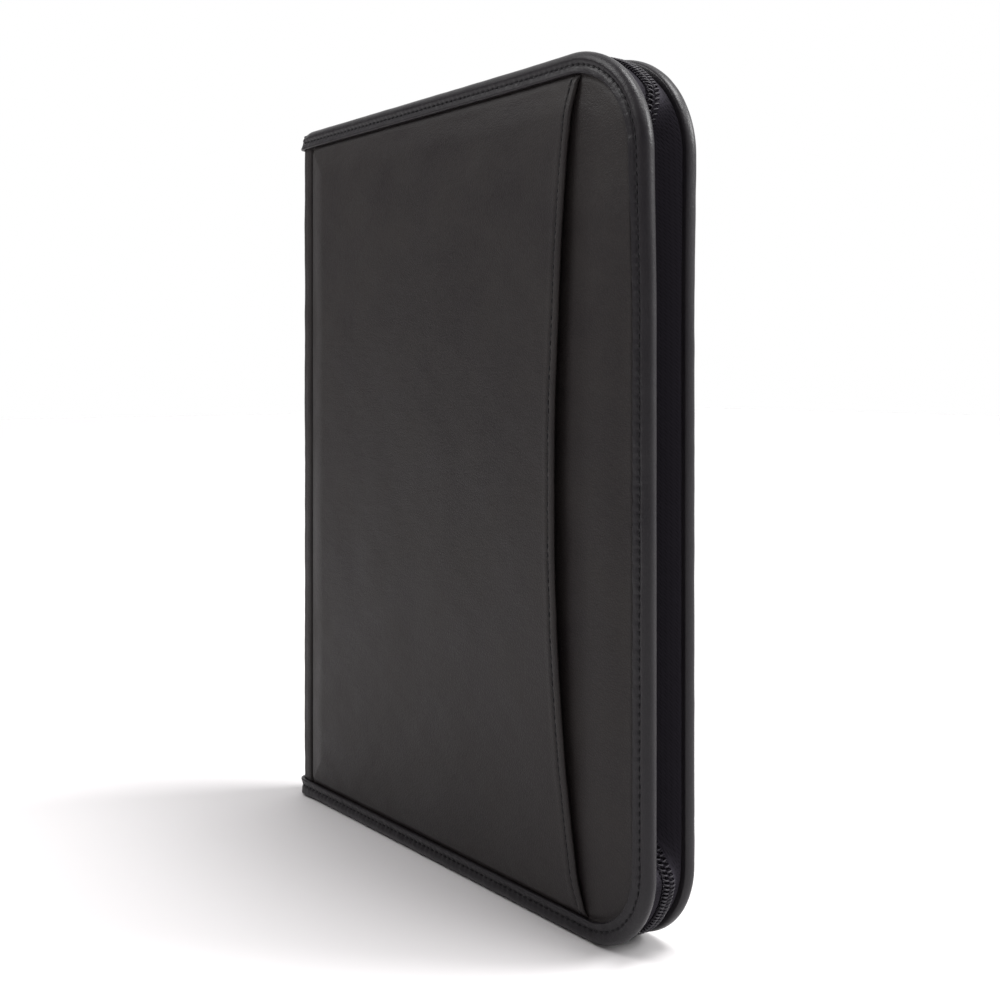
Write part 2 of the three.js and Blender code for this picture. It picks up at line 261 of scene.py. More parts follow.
def edge_rail(step, start=LEFT + SPINE_BEND, bends=True):
    """Stations along the edge, each a point, the way into the cover and the way through it."""
    parts = []

    def straight(a, b, inward, through):
        points = along(a, b, step)
        parts.append((points, np.tile(inward, (len(points), 1)), np.tile(through, (len(points), 1))))

    def corner(radius, z, from_angle):
        count = max(8, int(radius * QUARTER / step))
        angles = np.linspace(from_angle, from_angle - QUARTER, count, endpoint=False)
        out = np.column_stack([np.cos(angles), 0 * angles, np.sin(angles)])
        centre = np.array([RIGHT - radius, FRONT, z])
        parts.append((centre + radius * out, -out, np.tile(BACKWARD, (len(angles), 1))))

    def bend(z, inward, angles):
        out = np.column_stack([np.cos(angles), np.sin(angles), 0 * angles])
        centre = np.array([LEFT + SPINE_BEND, FRONT + SPINE_BEND, z])
        parts.append((centre + SPINE_BEND * out, np.tile(inward, (len(angles), 1)), -out))

    count = max(6, int(SPINE_BEND * QUARTER / step))
    turn = np.linspace(math.pi, math.pi + QUARTER, count, endpoint=False)
    to_zip, to_spine = [1.0, 0, 0], [-1.0, 0, 0]
    if bends:
        straight((LEFT, -GAP / 2, HEIGHT), (LEFT, FRONT + SPINE_BEND, HEIGHT), DOWN, to_zip)
        bend(HEIGHT, DOWN, turn)
    straight((start, FRONT, HEIGHT), (RIGHT - TOP_CORNER, FRONT, HEIGHT), DOWN, BACKWARD)
    corner(TOP_CORNER, HEIGHT - TOP_CORNER, QUARTER)
    straight((RIGHT, FRONT, HEIGHT - TOP_CORNER), (RIGHT, FRONT, BOTTOM_CORNER), to_spine, BACKWARD)
    corner(BOTTOM_CORNER, BOTTOM_CORNER, 0)
    straight((RIGHT - BOTTOM_CORNER, FRONT, 0), (start, FRONT, 0), UP, BACKWARD)
    if bends:
        bend(0, UP, turn[::-1] + (turn[1] - turn[0]))
        straight((LEFT, FRONT + SPINE_BEND, 0), (LEFT, -GAP / 2, 0), UP, to_zip)
    point, inward, through = (np.concatenate(x) for x in zip(*parts))
    length = np.concatenate([[0], np.cumsum(np.linalg.norm(np.diff(point, axis=0), axis=1))])
    return {"point": point, "inward": inward, "through": through, "length": length}


def place(rail, sections):
    """Points of the sections, one of (inset, depth) rows for each station."""
    inset, depth = sections[..., 0], sections[..., 1]
    return (
        rail["point"][:, None]
        + rail["inward"][:, None] * inset[..., None]
        + rail["through"][:, None] * depth[..., None]
    )


def inset_at(x, z):
    """Distance in from the outline of a cover."""
    inset = np.minimum(np.minimum(RIGHT - x, HEIGHT - z), z)
    for radius, centre, side in ((TOP_CORNER, HEIGHT - TOP_CORNER, 1), (BOTTOM_CORNER, BOTTOM_CORNER, -1)):
        dx, dz = x - (RIGHT - radius), (z - centre) * side
        inset = np.where((dx > 0) & (dz > 0), radius - np.hypot(dx, dz), inset)
    return inset


# Materials


class Nodes:
    """A material's node tree, with short ways to add and join nodes."""

    def __init__(self, name):
        self.material = bpy.data.materials.new(name)
        self.material.use_nodes = True
        self.tree = self.material.node_tree
        self.shader = next(n for n in self.tree.nodes if n.type == "BSDF_PRINCIPLED")
        self.place = self.add("ShaderNodeTexCoord").outputs["Object"]

    def add(self, kind, **inputs):
        """A new node. An underscore in an input's name stands for a space."""
        node = self.tree.nodes.new(kind)
        for name, value in inputs.items():
            self.give(node.inputs[name.replace("_", " ")], value)
        return node

    def give(self, socket, value):
        """Link a socket to another, or set its number or colour."""
        if isinstance(value, bpy.types.NodeSocket):
            self.tree.links.new(value, socket)
        else:
            socket.default_value = value

    def scaled(self, factors):
        """The object's own places, stretched by factors."""
        node = self.add("ShaderNodeMapping", Vector=self.place)
        node.inputs["Scale"].default_value = factors
        return node.outputs["Vector"]

    def noise(self, scale, detail=2.0, place=None, roughness=0.5):
        node = self.add("ShaderNodeTexNoise", Vector=place or self.place, Scale=scale, Detail=detail)
        node.inputs["Roughness"].default_value = roughness
        return node.outputs["Fac"]

    def cells(self, scale, place):
        node = self.add("ShaderNodeTexVoronoi", Vector=place, Scale=scale)
        node.feature = "DISTANCE_TO_EDGE"
        return node.outputs["Distance"]

    def spread(self, value, low, high, to_low, to_high):
        """The value, with low to high mapped to a new range."""
        node = self.add("ShaderNodeMapRange", Value=value)
        for name, number in (("From Min", low), ("From Max", high), ("To Min", to_low), ("To Max", to_high)):
            node.inputs[name].default_value = number
        return node.outputs["Result"]

    def math(self, operation, a, b):
        node = self.add("ShaderNodeMath")
        node.operation = operation
        for socket, value in zip(node.inputs, (a, b)):
            self.give(socket, value)
        return node.outputs[0]

    def mix(self, share, dark, light):
        node = self.add("ShaderNodeMix")
        node.data_type = "RGBA"
        self.give(node.inputs[0], share)
        self.give(node.inputs[6], (*dark, 1))
        self.give(node.inputs[7], (*light, 1))
        return node.outputs[2]

    def relief(self, height, strength, distance, below=None):
        """A bumped normal, on top of the one below."""
        node = self.add("ShaderNodeBump", Height=height, Strength=strength, Distance=distance)
        if below is not None:
            self.give(node.inputs["Normal"], below)
        return node.outputs["Normal"]

    def surface(self, **inputs):
        """The finished material, with these inputs of its shader."""
        for name, value in inputs.items():
            self.give(self.shader.inputs[name.replace("_", " ")], value)
        return self.material


def leather(name, dark, light, rough, grain, wrinkle):
    """Pressed grain in small pebbles, with soft pores, faint creases and uneven polish."""
    n = Nodes(name)
    warp = n.add("ShaderNodeVectorMath", Vector=n.place)
    warp.operation = "ADD"
    shift = n.add("ShaderNodeTexNoise", Vector=n.place, Scale=300.0, Detail=1.0)
    small = n.add("ShaderNodeVectorMath", Vector=shift.outputs["Color"])
    small.operation = "SCALE"
    small.inputs["Scale"].default_value = 0.0012
    n.give(warp.inputs[1], small.outputs[0])
    pebbles = n.spread(n.cells(820.0, warp.outputs[0]), 0.0, 0.22, 0.0, 1.0)
    pores = n.noise(2600.0, 2.0)
    creases = n.noise(95.0, 4.0, n.scaled((1.0, 1.0, 2.2)), 0.62)
    swells = n.noise(26.0, 2.0)
    normal = n.relief(swells, wrinkle, 0.0016)
    normal = n.relief(creases, wrinkle, 0.0007, normal)
    normal = n.relief(pebbles, grain, 0.00016, normal)
    normal = n.relief(pores, grain, 0.00006, normal)
    patches = n.noise(42.0, 3.0)
    tone = n.math("ADD", n.math("MULTIPLY", patches, 0.75), n.math("MULTIPLY", pebbles, 0.25))
    uneven = n.math("ADD", patches, n.math("MULTIPLY", pores, 0.4))
    return n.surface(
        Base_Color=n.mix(n.spread(tone, 0.25, 0.8, 0.0, 1.0), dark, light),
        Roughness=n.spread(uneven, 0.4, 1.0, rough - 0.05, rough + 0.07),
        Normal=normal,
        Specular_IOR_Level=0.245,
    )


def thread_material():
    """Black thread with its twist."""
    n = Nodes("sewing_thread")
    strands = n.add("ShaderNodeTexWave", Vector=n.place, Scale=900.0, Distortion=1.5)
    return n.surface(
        Base_Color=n.mix(n.noise(700.0), (0.003, 0.003, 0.004), (0.007, 0.0065, 0.008)),
        Roughness=0.7,
        Specular_IOR_Level=0.3,
        Normal=n.relief(strands.outputs["Fac"], 0.5, 0.00012),
    )


def tape_material():
    """Cloth with a diagonal weave."""
    n = Nodes("zip_tape_cloth")
    ribs = n.add("ShaderNodeTexWave", Vector=n.place, Scale=420.0, Distortion=0.6)
    ribs.bands_direction = "DIAGONAL"
    picks = n.add("ShaderNodeTexWave", Vector=n.scaled((1.0, -1.0, 1.0)), Scale=420.0, Distortion=0.6)
    picks.bands_direction = "DIAGONAL"
    weave = n.math("MAXIMUM", ribs.outputs["Fac"], picks.outputs["Fac"])
    return n.surface(
        Base_Color=n.mix(weave, (0.0115, 0.0100, 0.0140), (0.0205, 0.0180, 0.0245)),
        Roughness=0.85,
        Specular_IOR_Level=0.2,
        Normal=n.relief(weave, 0.35, 0.00025),
    )


def coil_material():
    """Nylon with a dull shine."""
    n = Nodes("zip_coil_nylon")
    return n.surface(
        Base_Color=n.mix(n.noise(900.0), (0.0078, 0.0060, 0.0098), (0.0135, 0.0112, 0.0165)),
        Specular_IOR_Level=0.28,
        Roughness=n.spread(n.noise(1500.0), 0.3, 0.7, 0.4, 0.54),
        Normal=n.relief(n.noise(2400.0), 0.25, 0.00006),
    )


def enamel_material():
    """Black enamel, a little worn."""
    n = Nodes("slider_enamel")
    worn = n.spread(n.noise(380.0, 4.0), 0.62, 0.7, 0.0, 1.0)
    return n.surface(
        Base_Color=n.mix(worn, (0.012, 0.012, 0.013), (0.05, 0.05, 0.052)),
        Metallic=0.35,
        Roughness=n.spread(n.noise(900.0), 0.3, 0.7, 0.24, 0.38),
        Normal=n.relief(n.noise(1800.0, 3.0), 0.15, 0.00008),
    )


COVER = leather(
    "cover_leather_fine",
    dark=(0.0117, 0.0092, 0.0100),
    light=(0.0206, 0.0178, 0.0166),
    rough=0.5,
    grain=0.32,
    wrinkle=0.26,
)
BINDING = leather(
    "binding_leather_soft",
    dark=(0.0096, 0.0083, 0.0105),
    light=(0.0148, 0.0134, 0.0152),
    rough=0.38,
    grain=0.18,
    wrinkle=0.28,
)
THREAD_MATERIAL = thread_material()
TAPE_MATERIAL = tape_material()
COIL_MATERIAL = coil_material()
ENAMEL = enamel_material()


# Edge binding


# Insets of the points on the strip's face, from its cut edge to the roll
FACE_INSETS = np.array([8.7, 8.66, 8.5, 8.2, 7.8, 7.3, 6.8, 6.3, 5.9, 5.55, 5.2, 4.85, 4.5, 4.1])
STITCH_COLUMN = int(np.argmin(np.abs(FACE_INSETS - STITCH_INSET)))
CUT_DEPTHS = 0.85, 0.4, 0.1  # of its first points, where the cut edge turns down
LIP_INSET = 8.1  # of the lip that stands up beside the cut edge
ROLL_POINTS = 17
SHOWN_POINTS = len(FACE_INSETS) + ROLL_POINTS


def binding_section():
    """The strip's section from its cut edge round the roll to the inside, as (inset, depth)."""
    face = FACE_INSETS
    flange = np.column_stack([face, np.zeros_like(face)])
    flange[: len(CUT_DEPTHS), 1] = CUT_DEPTHS
    flange[:, 1] -= 0.5 * bump(face, LIP_INSET, 1.0)
    flange[:, 1] += 0.6 * bump(face, STITCH_INSET, 0.7)
    angles = np.linspace(-QUARTER, QUARTER, ROLL_POINTS)
    half = ROLL / 2
    wide = np.where(angles < 0, ROLL_WIDTH, ROLL_INSIDE)
    roll = np.column_stack([wide * (1 - np.cos(angles)), half * (1 + np.sin(angles))])
    roll[:, 1] -= 0.22 * (angles < 0) * np.abs(np.sin(angles)) ** 3
    inner = np.array([[4.6, ROLL], [6.6, ROLL], [8.2, ROLL], [BINDING_FACE, ROLL - 0.3]])
    back = np.array([[BINDING_FACE, ROLL - LEATHER], [BINDING_EDGE + 0.2, ROLL - LEATHER]])
    fold = np.array([[BINDING_EDGE + 0.2, LEATHER], [BINDING_FACE, LEATHER]])
    return np.concatenate([flange, roll, inner, back, fold])


def binding_points(seed):
    """The rail of a strip and its rings of points."""
    rail = edge_rail(0.8)
    inset, depth = binding_section().T
    number = np.arange(len(inset))
    shown = (number < SHOWN_POINTS).astype(float)
    x, z = rail["point"][:, 0], rail["point"][:, 2]
    # Under the foot of the spine the roll is pressed flat
    flat = smooth((LEFT + 20 - x) / 14) * (z < HEIGHT / 2)
    rolled = shown * (number >= len(FACE_INSETS))
    pressed = inset * (1 - 0.62 * flat[:, None] * rolled)
    rings = place(rail, np.stack([pressed, np.tile(depth, (len(pressed), 1))], -1))
    normals = ring_normals(rings)
    # The normals are turned to point out of the face
    normals = normals * np.sign((normals[:, STITCH_COLUMN] * -rail["through"]).sum())
    rings = rings + normals * binding_marks(rail, rings, inset, depth, shown, seed)[..., None]
    # Over the top of the spine the strip leans in
    lean = smooth((LEFT + 12 - x) / 10) * smooth(z / HEIGHT * 4 - 3)
    drop = lean[:, None] * (1 - smooth(inset / 6.4)) * shown
    rings = rings + rail["through"][:, None] * (1.5 * drop * smooth((ROLL - depth) / 3))[..., None]
    return rail, rings + rail["inward"][:, None] * (0.5 * drop)[..., None]


def binding_marks(rail, rings, inset, depth, shown, seed):
    """Rise of a strip off its plain shape: dimples at the thread, puckers at the corners, an uneven roll."""
    length = rail["length"][:, None]
    turning = corner_share(rail)[:, None]
    outer = shown * smooth((ROLL - depth) / ROLL)
    fine = 0.045 * waves(rings, 5.5, seed + 1) * smooth((inset - 1.2) / 3)
    uneven = 0.04 * waves(rings, 14.0, seed) + fine
    pull = np.cos(2 * math.pi * length / PITCH)
    dimples = 0.11 * bump(inset, STITCH_INSET, 1.5) * pull * (1 - 0.6 * turning)
    spread_out = np.dstack(np.broadcast_arrays(length, 0.25 * inset, 0.0))
    puckers = 0.1 * turning * waves(spread_out, 7.6, seed + 2) * bump(inset, 5.6, 2.2)
    # The lip lies flatter along the zip side and round the corners
    straight = side_share(rail["point"][:, 0], rail["point"][:, 2])[:, None]
    flush = np.maximum(0.42 * straight, 0.3 * turning) * shown * (depth < 1) * bump(inset, LIP_INSET, 1.0)
    return outer * (uneven - dimples + puckers) - flush


def corner_share(rail):
    """How much of a station lies in one of the rounded corners."""
    x, z = rail["point"][:, 0], rail["point"][:, 2]
    top = smooth((x - (RIGHT - TOP_CORNER)) / 8) * smooth((z - (HEIGHT - TOP_CORNER)) / 8)
    low = smooth((x - (RIGHT - BOTTOM_CORNER)) / 8) * smooth((BOTTOM_CORNER - z) / 8)
    return np.maximum(top, low)


# A stitch at some places from end to end
STITCH_ALONG = np.array([-1, -0.86, -0.55, 0, 0.55, 0.86, 1])  # in shares of half its length
STITCH_THICK = np.array([0.55, 0.85, 1, 1.05, 1, 0.85, 0.55])  # in shares of the thread's radius
STITCH_SINK = 0.32  # of its ends, into the leather


def add_stitches(name, points, normal, slot, start, lift=0.16, thick=THREAD):
    """Short arched threads along a line of points, in one mesh. normal is the way out of the leather."""
    length = np.concatenate([[0], np.cumsum(np.linalg.norm(np.diff(points, axis=0), axis=1))])
    places = np.arange(start, length[-1] - start, PITCH)
    places = places + rng.uniform(-0.12, 0.12, len(places))
    at = read(points, length, places)
    ahead = unit(read(heading(points), length, places))
    out = read(normal, length, places)
    out = unit(out - ahead * np.einsum("ij,ij->i", ahead, out)[:, None])
    side = np.cross(ahead, out)
    ahead = unit(ahead + side * rng.uniform(-0.06, 0.06, len(places))[:, None])
    height = lift - (lift + STITCH_SINK) * np.abs(STITCH_ALONG) ** 3.2
    lengths = STITCH_LENGTH / 2 * rng.uniform(0.93, 1.05, len(places))
    centre = (
        at[:, None]
        + ahead[:, None] * (STITCH_ALONG[:, None] * lengths[:, None, None])
        + out[:, None] * height[:, None]
    )
    radius = thick * STITCH_THICK[:, None]
    around = np.linspace(0, 2 * math.pi, 8, endpoint=False)
    rings = (
        centre[:, :, None]
        + side[:, None, None] * (radius * np.cos(around))[..., None]
        + out[:, None, None] * (radius * 0.85 * np.sin(around))[..., None]
    )
    return make(name, *joined(rings), THREAD_MATERIAL, slot, 80)


def add_bindings():
    """The folded strip round each cover and its thread."""
    for side, seed in (("front", 11), ("back", 23)):
        rail, rings = binding_points(seed)
        line, facing = rings[:, STITCH_COLUMN], unit(-rail["through"])
        if side == "back":
            line, facing = mirrored(line), mirrored(facing)
        name = side + "_binding"
        strip = add_tube(name + "_strip", rings, side == "back", BINDING, "binding_leather", 55)
        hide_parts(name)
        thread = add_stitches(name + "_thread", line, facing, "binding_leather", start=2.2)


# Covers


def cover_outline(inset, left, count):
    """The outline of a cover at an inset, its spine side at left, as points (x, z)."""

    def corner(radius, z, start):
        angles = np.linspace(start, start - QUARTER, count["corner"], endpoint=False)
        reach = max(radius - inset, 0.01)
        return np.column_stack([RIGHT - radius + reach * np.cos(angles), z + reach * np.sin(angles)])

    def side(a, b, number):
        share = np.linspace(0, 1, number, endpoint=False)[:, None]
        return np.asarray(a) + (np.asarray(b) - np.asarray(a)) * share

    top, low = HEIGHT - inset, inset
    return np.concatenate([
        side([left, top], [RIGHT - TOP_CORNER, top], count["long"]),
        corner(TOP_CORNER, HEIGHT - TOP_CORNER, QUARTER),
        side([RIGHT - inset, HEIGHT - TOP_CORNER], [RIGHT - inset, BOTTOM_CORNER], count["tall"]),
        corner(BOTTOM_CORNER, BOTTOM_CORNER, 0),
        side([RIGHT - BOTTOM_CORNER, low], [left, low], count["long"]),
        side([left, low], [left, top], count["tall"]),
    ])


def cover_face_depth(x, z, seed, covered):
    """Depth of a cover's leather below the binding's face, covered by the pocket near the spine or not."""
    edge = inset_at(x, z) - BINDING_FACE
    seam = x - SEAM
    crown = SWELL * smooth(np.minimum(edge / CROWN_WIDTH, seam / SEAM_CROWN_WIDTH))
    pinch = 0.9 * np.exp(-np.maximum(seam, 0) / 1.5) * (edge > 0)
    pinch = pinch + 0.45 * bump(edge, 0.7, 1.2) * (1 - side_share(x, z))
    if covered:
        under = smooth((mouth_at(z) - 4 - x) / 8)
        pinch = pinch + 1.1 * under * np.exp(-np.maximum(np.minimum(edge, seam), 0) / 2.5)
    crown = crown + 0.95 * side_share(x, z) * smooth(edge / 0.7)
    points = np.stack([x, 0 * x, z], -1)
    slack = 0.09 * waves(points, 46.0, seed) + 0.03 * waves(points, 17.0, seed + 1)
    puckers = 0.06 * waves(points, 6.5, seed + 2) * np.exp(-np.maximum(edge, 0) / 5.0)
    inside = smooth(np.minimum(edge, seam) / 6)
    return SKIN - crown + pinch - (slack * inside + puckers * smooth(edge / 1.5)) * (edge > 0)


def side_share(x, z):
    """How much of a place lies along the straight of the zip side, where leather meets binding flush."""
    tall = smooth((HEIGHT - TOP_CORNER + 4 - z) / 30) * smooth((z - BOTTOM_CORNER + 12) / 30)
    return tall * smooth((x - (RIGHT - 40)) / 12)


OUTLINE_COUNT = {"long": 150, "corner": 60, "tall": 210}  # points on each side and corner
HIDDEN_INSETS = 2.3, 5.0, 7.4, 8.3  # of the outlines under the binding
SHOWN_STEPS = 0.0, 0.5, 1.0, 1.6, 2.2, 3.0, 4.0, 5.0, 6.2, 7.6, 9.2, 11.0, 13.0, 15.2, 17.6  # inside it
FIELD_OUTLINES = 45  # from the last of them to near the middle of the cover


def cover_outlines():
    """Outlines of a cover's face from its rim to its middle."""
    outlines = []
    for k, inset in enumerate(HIDDEN_INSETS, 1):
        outlines.append(cover_outline(inset, SEAM + 0.02 * k, OUTLINE_COUNT))
    for step in SHOWN_STEPS:
        outlines.append(cover_outline(BINDING_FACE + step, SEAM + 0.1 + step, OUTLINE_COUNT))
    middle = np.array([(LEFT + RIGHT) / 2, HEIGHT / 2])
    last = outlines[-1]
    shares = np.linspace(0, 0.98, FIELD_OUTLINES + 1)[1:]
    return outlines + [middle + (last - middle) * (1 - share) for share in shares]


def add_covers():
    """Each cover's leather over its foam, from its flat rim up and in to the middle of its face."""
    for side, seed in (("front", 31), ("back", 47)):
        rings = []
        rim = cover_outline(COVER_INSET, SEAM, OUTLINE_COUNT)
        for depth in (SKIN + BOARD, SKIN + 0.4):
            rings.append(np.column_stack([rim[:, 0], np.full(len(rim), FRONT + depth), rim[:, 1]]))
        for outline in cover_outlines():
            x, z = outline.T
            rings.append(np.column_stack([x, FRONT + cover_face_depth(x, z, seed, side == "front"), z]))
        panel = add_tube(side + "_cover_padded", np.array(rings), side == "back", COVER, "cover_leather", 50)
        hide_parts(side + "_cover")


# Spine


GROOVE = 1.4  # its depth, and the width of its floor and of its slope
SPINE_ROWS = 230


def spine_section():
    """The outside of the spine from its front edge round to its back one, as (x, y)."""
    flange = np.concatenate([np.linspace(0, 3.2, 15), np.linspace(3.8, SPINE_FLANGE - SPINE_BEND, 8)])
    turn = np.linspace(math.pi + QUARTER, math.pi, 14)[1:]
    arc = np.column_stack([np.cos(turn), np.sin(turn)])
    straight = np.linspace(FRONT + SPINE_BEND, 0, 7)[1:]
    half = np.concatenate([
        np.column_stack([LEFT + SPINE_FLANGE - flange, np.full(len(flange), FRONT + SKIN)]),
        np.array([LEFT, FRONT]) + SPINE_BEND + (SPINE_BEND - SKIN) * arc,
        np.column_stack([np.full(len(straight), LEFT + SKIN), straight]),
    ])
    return np.concatenate([half, half[-2::-1] * [1, -1]])


def add_spine():
    """The leather round the spine, with a seam pressed in near both of its edges."""
    outer = spine_section()
    ahead = heading(outer)
    outward = np.column_stack([-ahead[:, 1], ahead[:, 0]])
    run = np.concatenate([[0], np.cumsum(np.linalg.norm(np.diff(outer, axis=0), axis=1))])
    run = np.minimum(run, run[-1] - run)
    inside = (outer - outward * BOARD)[::-1]
    z = COVER_INSET + (HEIGHT - 2 * COVER_INSET) * crowded_ends(SPINE_ROWS, 0.08)
    groove = GROOVE * (1 - smooth((run - GROOVE) / GROOVE)) - 0.2 * bump(run, 4.6, 1.6)
    rows = []
    for height in z:
        points = np.column_stack([outer, np.full(len(outer), height)])
        slack = 0.1 * waves(points, 38.0, 61) + 0.045 * waves(points, 11.0, 62)
        pull = 1 + 0.22 * math.cos(2 * math.pi * height / PITCH)
        sunk = groove * np.where(run < 3.5, pull, 1)
        face = outer + outward * (slack * smooth(run / 4) - sunk)[:, None]
        loop = np.concatenate([face, inside])
        rows.append(np.column_stack([loop, np.full(len(loop), height)]))
    rows = np.array(rows)
    spine = add_tube("spine_padded", rows, False, COVER, "cover_leather", 50)
    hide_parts("spine")
    column = int(np.argmin(np.abs(run[: len(outer) // 2] - SPINE_SEAM)))
    shown = (z > BINDING_FACE + 1) & (z < HEIGHT - BINDING_FACE - 1)
    for side, number, out in (("front", column, -1.0), ("back", len(outer) - 1 - column, 1.0)):
        line = rows[shown, number]
        facing = np.tile([0.0, out, 0.0], (len(line), 1))
        add_stitches("spine_" + side + "_thread", line, facing, "cover_leather", start=0.8)


# Front pocket


def low_at(x, inset):
    """The lower edge of the case at x, moved in by the inset."""
    over = np.maximum(0, x - (RIGHT - BOTTOM_CORNER))
    return BOTTOM_CORNER - np.sqrt((BOTTOM_CORNER - inset) ** 2 - over**2)


def high_at(x, inset):
    """The upper edge of the case at x, moved in by the inset."""
    over = np.maximum(0, x - (RIGHT - TOP_CORNER))
    return HEIGHT - TOP_CORNER + np.sqrt((TOP_CORNER - inset) ** 2 - over**2)


def mouth_at(z):
    """The place of the pocket's mouth at a height."""
    share = 2 * z / HEIGHT - 1
    return RIGHT - MOUTH_MARGIN + np.where(share > 0, MOUTH_BOW_TOP, MOUTH_BOW_BOTTOM) * share**2


HEM = 3.4  # from the mouth's edge to its seam
HEM_THICKNESS = 1.7
HEM_ROUNDING = 0.85  # radius of its edge
TUCK = 7.4  # inset of the panel's edge, under the binding's


POCKET_ROWS, POCKET_COLUMNS = 220, 170


def panel_relief(x, z, edge):
    """Rise of the panel above the binding's face: its crown, pinched seams, slack and puckers."""
    seam = x - SEAM
    crown = SWELL * smooth(np.minimum(edge / CROWN_WIDTH, seam / SEAM_CROWN_WIDTH))
    at_seam = 1.4 * np.exp(-((np.maximum(seam, 0) / 1.3) ** 2))
    at_edge = 1.45 * np.exp(-((np.maximum(edge, 0) / 1.9) ** 1.6))
    pinch = np.minimum(at_seam + at_edge, 1.5)
    points = np.stack([x, 0 * x, z], -1)
    slack = 0.16 * waves(points, 58.0, 71) + 0.05 * waves(points, 19.0, 72)
    slack = slack * smooth(np.minimum(edge, seam) / 8)
    puckers = 0.07 * waves(points * [1, 1, 0.6], 6.5, 73)
    puckers = puckers * np.exp(-np.maximum(edge, 0) / 5) * smooth(edge / 1.5)
    return crown - pinch + slack + puckers


def hem_relief(from_mouth, z):
    """Rise of the turned hem, of its edge and of the leather behind its seam, less what the thread pulls."""
    hem = 0.42 * smooth((HEM + 0.4 - from_mouth) / 1.2)
    rims = 0.12 * bump(from_mouth, 1.7, 1.1) + 0.12 * bump(from_mouth, HEM + 1.9, 1.3)
    pull = 1 + 0.5 * np.cos(2 * math.pi * z / PITCH)
    return hem + rims - 0.45 * bump(from_mouth, HEM, 0.7) * pull


def add_pocket():
    """The panel with a turned hem at its mouth, pinched at the spine seam and under the binding."""
    share_z = crowded_ends(POCKET_ROWS)
    z_row = TUCK + (HEIGHT - 2 * TUCK) * share_z
    mouth = mouth_at(z_row)[:, None]
    x = SEAM + (mouth - SEAM) * crowded_ends(POCKET_COLUMNS)
    low, high = low_at(x, TUCK), high_at(x, TUCK)
    z = low + (high - low) * share_z[:, None]
    edge = inset_at(x, z) - BINDING_FACE
    from_mouth = mouth - x
    # The mouth stands off the cover, most in the middle of its height
    across = (x - SEAM) / (mouth - SEAM)
    tall = np.clip((z - low - 1.2) / (high - low - 2.4), 0, 1)
    lift = POCKET_LIFT * across**2 * (4 * tall * (1 - tall)) ** 0.62
    fade = smooth(edge / 3.0)
    height = lift + panel_relief(x, z, edge) + hem_relief(from_mouth, z) * fade
    # The hem is two layers thick and round at its edge
    over = np.clip((HEM_ROUNDING - from_mouth) / HEM_ROUNDING, 0, 1)
    fall = HEM_ROUNDING * (1 - np.sqrt(np.maximum(1 - over**2, 0)))
    outer = np.stack([x, FRONT - height + fall, z], -1)
    thick = LEATHER + (HEM_THICKNESS - LEATHER) * smooth((HEM + 0.6 - from_mouth) / 1.2) * fade
    thick = np.maximum(thick - 1.8 * fall, 0.06)
    inner = outer + thick[..., None] * BACKWARD
    rings = np.concatenate([outer, inner[:, ::-1]], axis=1)
    panel = add_tube("front_pocket_panel", rings, False, COVER, "cover_leather", 60)
    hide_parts("front_pocket")
    # The seam of the hem, where the binding doesn't cover it
    nearest = np.argmin(np.abs(from_mouth - HEM), axis=1)
    line = outer[np.arange(POCKET_ROWS), nearest]
    line[:, 0] = mouth[:, 0] - HEM
    line = line[edge[:, nearest[POCKET_ROWS // 2]] > 0.8]
    facing = np.tile([0.0, -1.0, 0.0], (len(line), 1))
    thread = add_stitches(
        "front_pocket_thread", line, facing, "cover_leather", start=0.6, lift=0.3, thick=HEM_THREAD
    )


# Zip


def zip_rail(step):
    """Stations along the zip and how deep its coil lies at each."""
    start = LEFT + ZIP_START
    rail = edge_rail(step, start, bends=False)
    straight = RIGHT - TOP_CORNER - start
    top_end = straight + TOP_CORNER * QUARTER
    side_end = top_end + HEIGHT - TOP_CORNER - BOTTOM_CORNER
    bottom_end = side_end + BOTTOM_CORNER * QUARTER
    arcs = {"top": (straight, top_end), "bottom": (side_end, bottom_end)}
    away = np.full(len(rail["length"]), 1e9)
    for bulge in BULGES:
        begin, end = arcs[bulge["corner"]]
        low, high = (begin + (end - begin) * bulge[k] for k in ("from", "to"))
        away = np.minimum(away, np.maximum(np.maximum(low - rail["length"], rail["length"] - high), 0))
    rail["depth"] = ZIP_CORNER_DEPTH + (ZIP_DEPTH - ZIP_CORNER_DEPTH) * smooth(away / ZIP_EASE)
    return rail


def add_tapes():
    """Each tape from its sewn edge at the binding, with a little sag, to its fold under the coil."""
    rail = zip_rail(1.6)
    depth = rail["depth"][:, None]
    middle = THICKNESS / 2
    edge = middle - GAP / 2 - COIL_WIDTH
    share = np.linspace(0, 1, 12)[None, :]
    sag = 0.5 * np.sin(math.pi * share)
    seat = np.stack([TAPE_SEAT + 0 * depth, ROLL + 0.35 + 0 * depth], -1)
    down = np.stack([depth + TAPE_DROP + 0.4, edge - 0.2 + 0 * depth], -1)
    slope = seat + (down - seat) * share[..., None]
    slope[..., 0] += sag
    across = edge + np.array([[0.9, 1.9, COIL_WIDTH - 0.1]])
    under = np.stack(np.broadcast_arrays(depth + COIL_DEPTH + 0.15, across), -1)
    face = np.concatenate([slope, under], axis=1)
    direction = unit(np.gradient(face, axis=1))
    behind = np.stack([direction[..., 1], -direction[..., 0]], -1) * 0.55
    section = np.concatenate([face, (face + behind)[:, ::-1]], axis=1)
    for side in ("front", "back"):
        rings = place(rail, section)
        rings = rings + rail["inward"][:, None] * (0.05 * waves(rings, 7.0, 81))[..., None]
        name = side + "_zip_tape"
        tape = add_tube(name + "_cloth", rings, side == "back", TAPE_MATERIAL, "zip_tape", 60)
        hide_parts(name)


